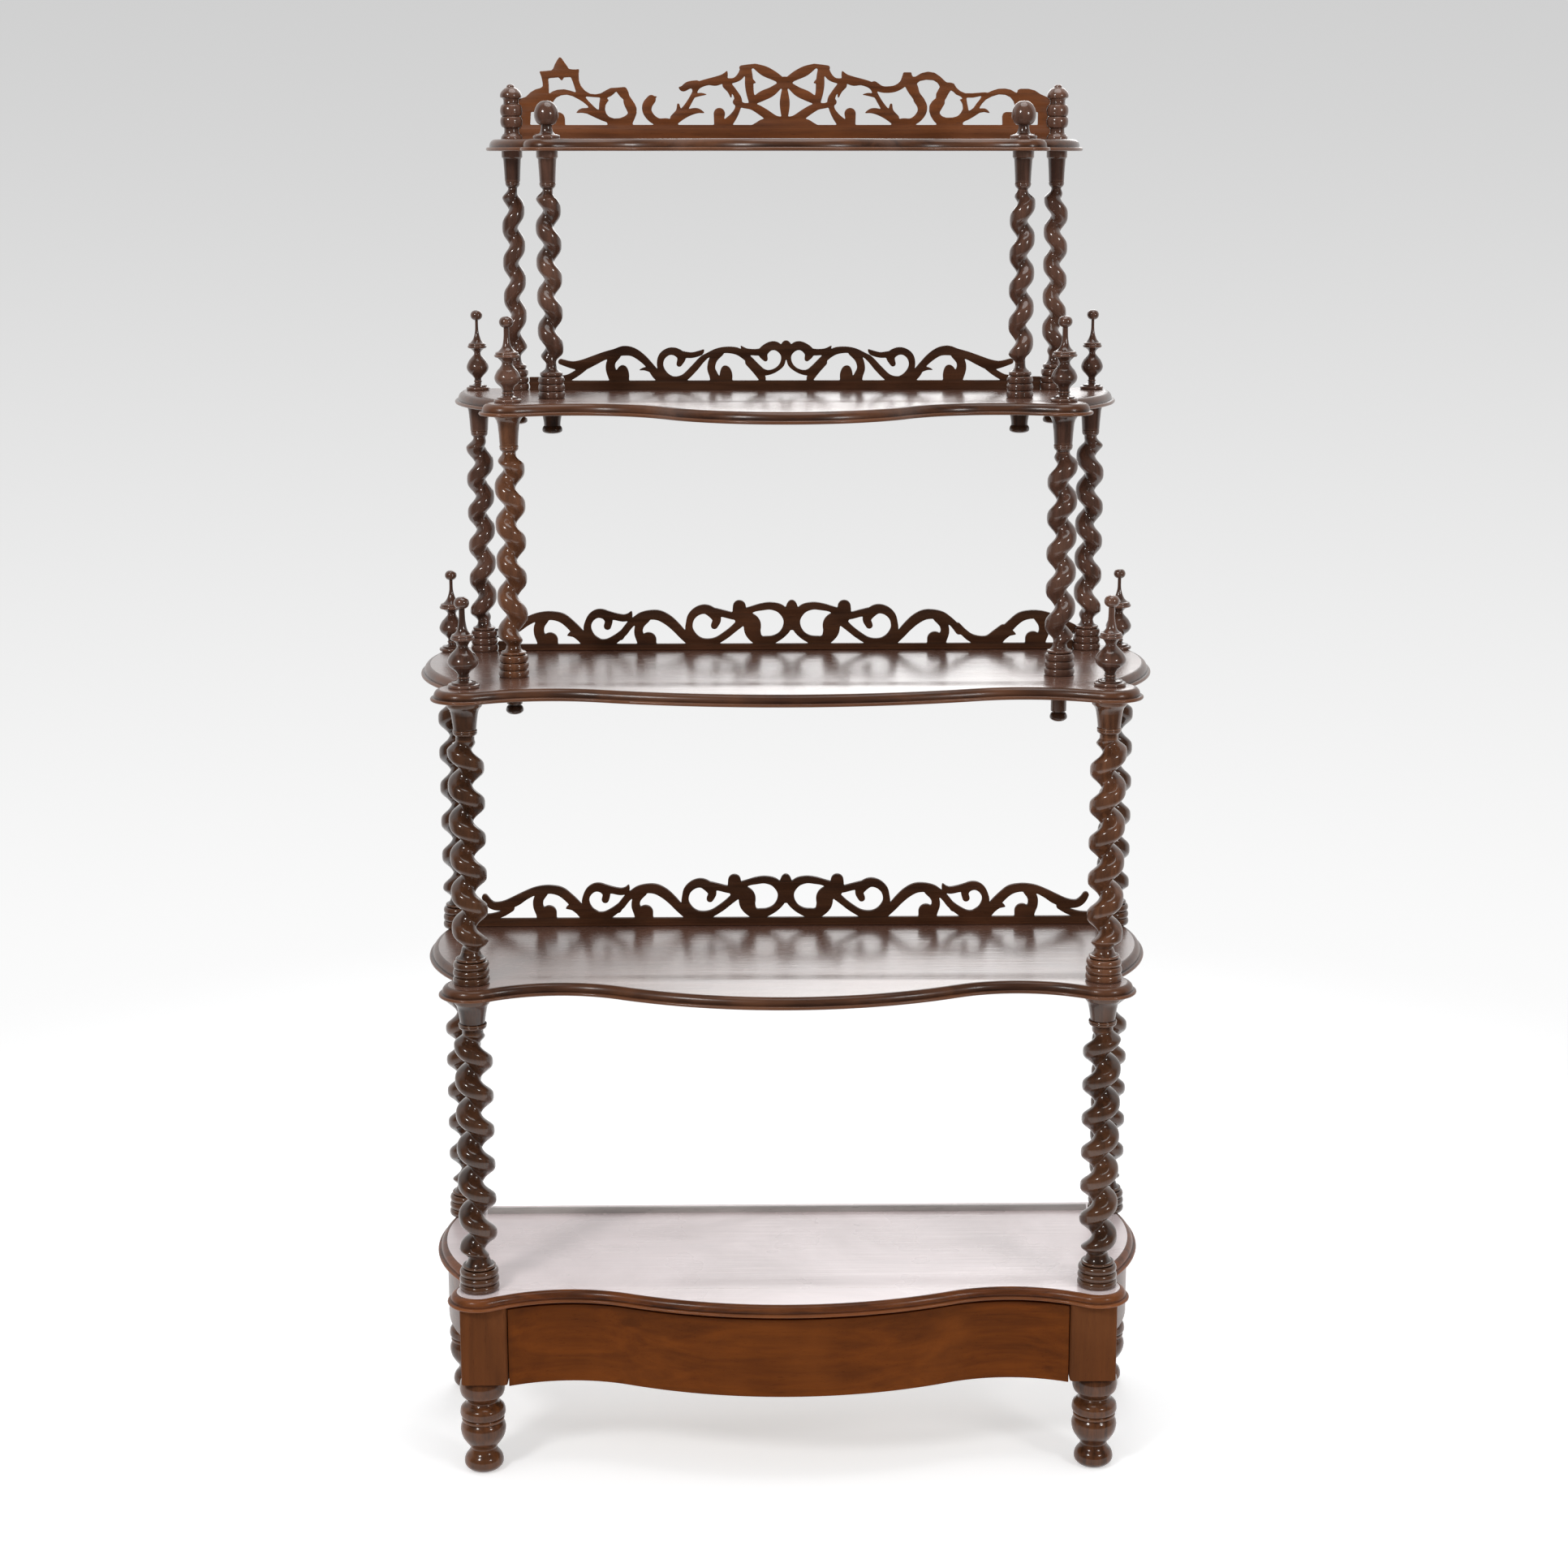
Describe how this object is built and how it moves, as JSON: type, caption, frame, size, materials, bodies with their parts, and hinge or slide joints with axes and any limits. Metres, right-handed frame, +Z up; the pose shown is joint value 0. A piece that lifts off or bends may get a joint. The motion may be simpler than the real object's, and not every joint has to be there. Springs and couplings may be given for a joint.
{
  "type": "etagere",
  "caption": "Tiered display stand: serpentine shelves on barley-twist columns, fretwork galleries at the back, turned finials and feet, and a shallow drawer in the base.",
  "frame": {"origin": "on the floor, at the middle of the plan bounding box", "axes": "+X to the right, +Y from the bowed front to the flat back, +Z up; the drawer opens along -Y"},
  "size_m": [0.9138, 0.3679, 1.7391],
  "materials": {
    "turned_walnut": "French polished dark red-brown walnut",
    "shelf_walnut": "glossy polished walnut",
    "dark_walnut": "satin dark walnut fretwork",
    "warm_walnut": "satin orange-brown walnut",
    "secondary_wood": "plain unpolished pine"
  },
  "bodies": {
    "stand": {"back_rail": "secondary_wood", "base_back_strip": "shelf_walnut", "base_front_moulding": "shelf_walnut", "base_top": "shelf_walnut", "corner_block_front_left": "warm_walnut", "corner_block_front_right": "warm_walnut", "corner_block_rear_left": "warm_walnut", "corner_block_rear_right": "warm_walnut", "crown_column_back_left": "turned_walnut", "crown_column_back_right": "turned_walnut", "crown_column_front_left": "turned_walnut", "crown_column_front_right": "turned_walnut", "crown_finial_back_left": "turned_walnut", "crown_finial_back_right": "turned_walnut", "crown_finial_front_left": "turned_walnut", "crown_finial_front_right": "turned_walnut", "crown_gallery": "warm_walnut", "crown_shelf": "shelf_walnut", "drawer_bearer": "secondary_wood", "drawer_kickers": "secondary_wood", "drawer_runners": "secondary_wood", "foot_front_left": "turned_walnut", "foot_front_right": "turned_walnut", "foot_rear_left": "turned_walnut", "foot_rear_right": "turned_walnut", "lower_column_back_left": "turned_walnut", "lower_column_back_right": "turned_walnut", "lower_column_front_left": "turned_walnut", "lower_column_front_right": "turned_walnut", "lower_gallery": "dark_walnut", "lower_shelf": "shelf_walnut", "middle_column_back_left": "turned_walnut", "middle_column_back_right": "turned_walnut", "middle_column_front_left": "turned_walnut", "middle_column_front_right": "turned_walnut", "middle_finial_back_left": "turned_walnut", "middle_finial_back_right": "turned_walnut", "middle_finial_front_left": "turned_walnut", "middle_finial_front_right": "turned_walnut", "middle_gallery": "dark_walnut", "middle_pendants": "turned_walnut", "middle_shelf": "shelf_walnut", "side_rail_left": "shelf_walnut", "side_rail_right": "shelf_walnut", "upper_column_back_left": "turned_walnut", "upper_column_back_right": "turned_walnut", "upper_column_front_left": "turned_walnut", "upper_column_front_right": "turned_walnut", "upper_finial_back_left": "turned_walnut", "upper_finial_back_right": "turned_walnut", "upper_finial_front_left": "turned_walnut", "upper_finial_front_right": "turned_walnut", "upper_gallery": "dark_walnut", "upper_pendants": "turned_walnut", "upper_shelf": "shelf_walnut"},
    "drawer": {"drawer_front": "warm_walnut", "drawer_side_left": "secondary_wood", "drawer_side_right": "secondary_wood", "drawer_back": "secondary_wood", "drawer_bottom": "secondary_wood"}
  },
  "joints": [
    {"name": "drawer_slide", "type": "slide", "parent": "stand", "child": "drawer", "axis": [0, -1, 0], "range_m": [0, 0.13]}
  ]
}
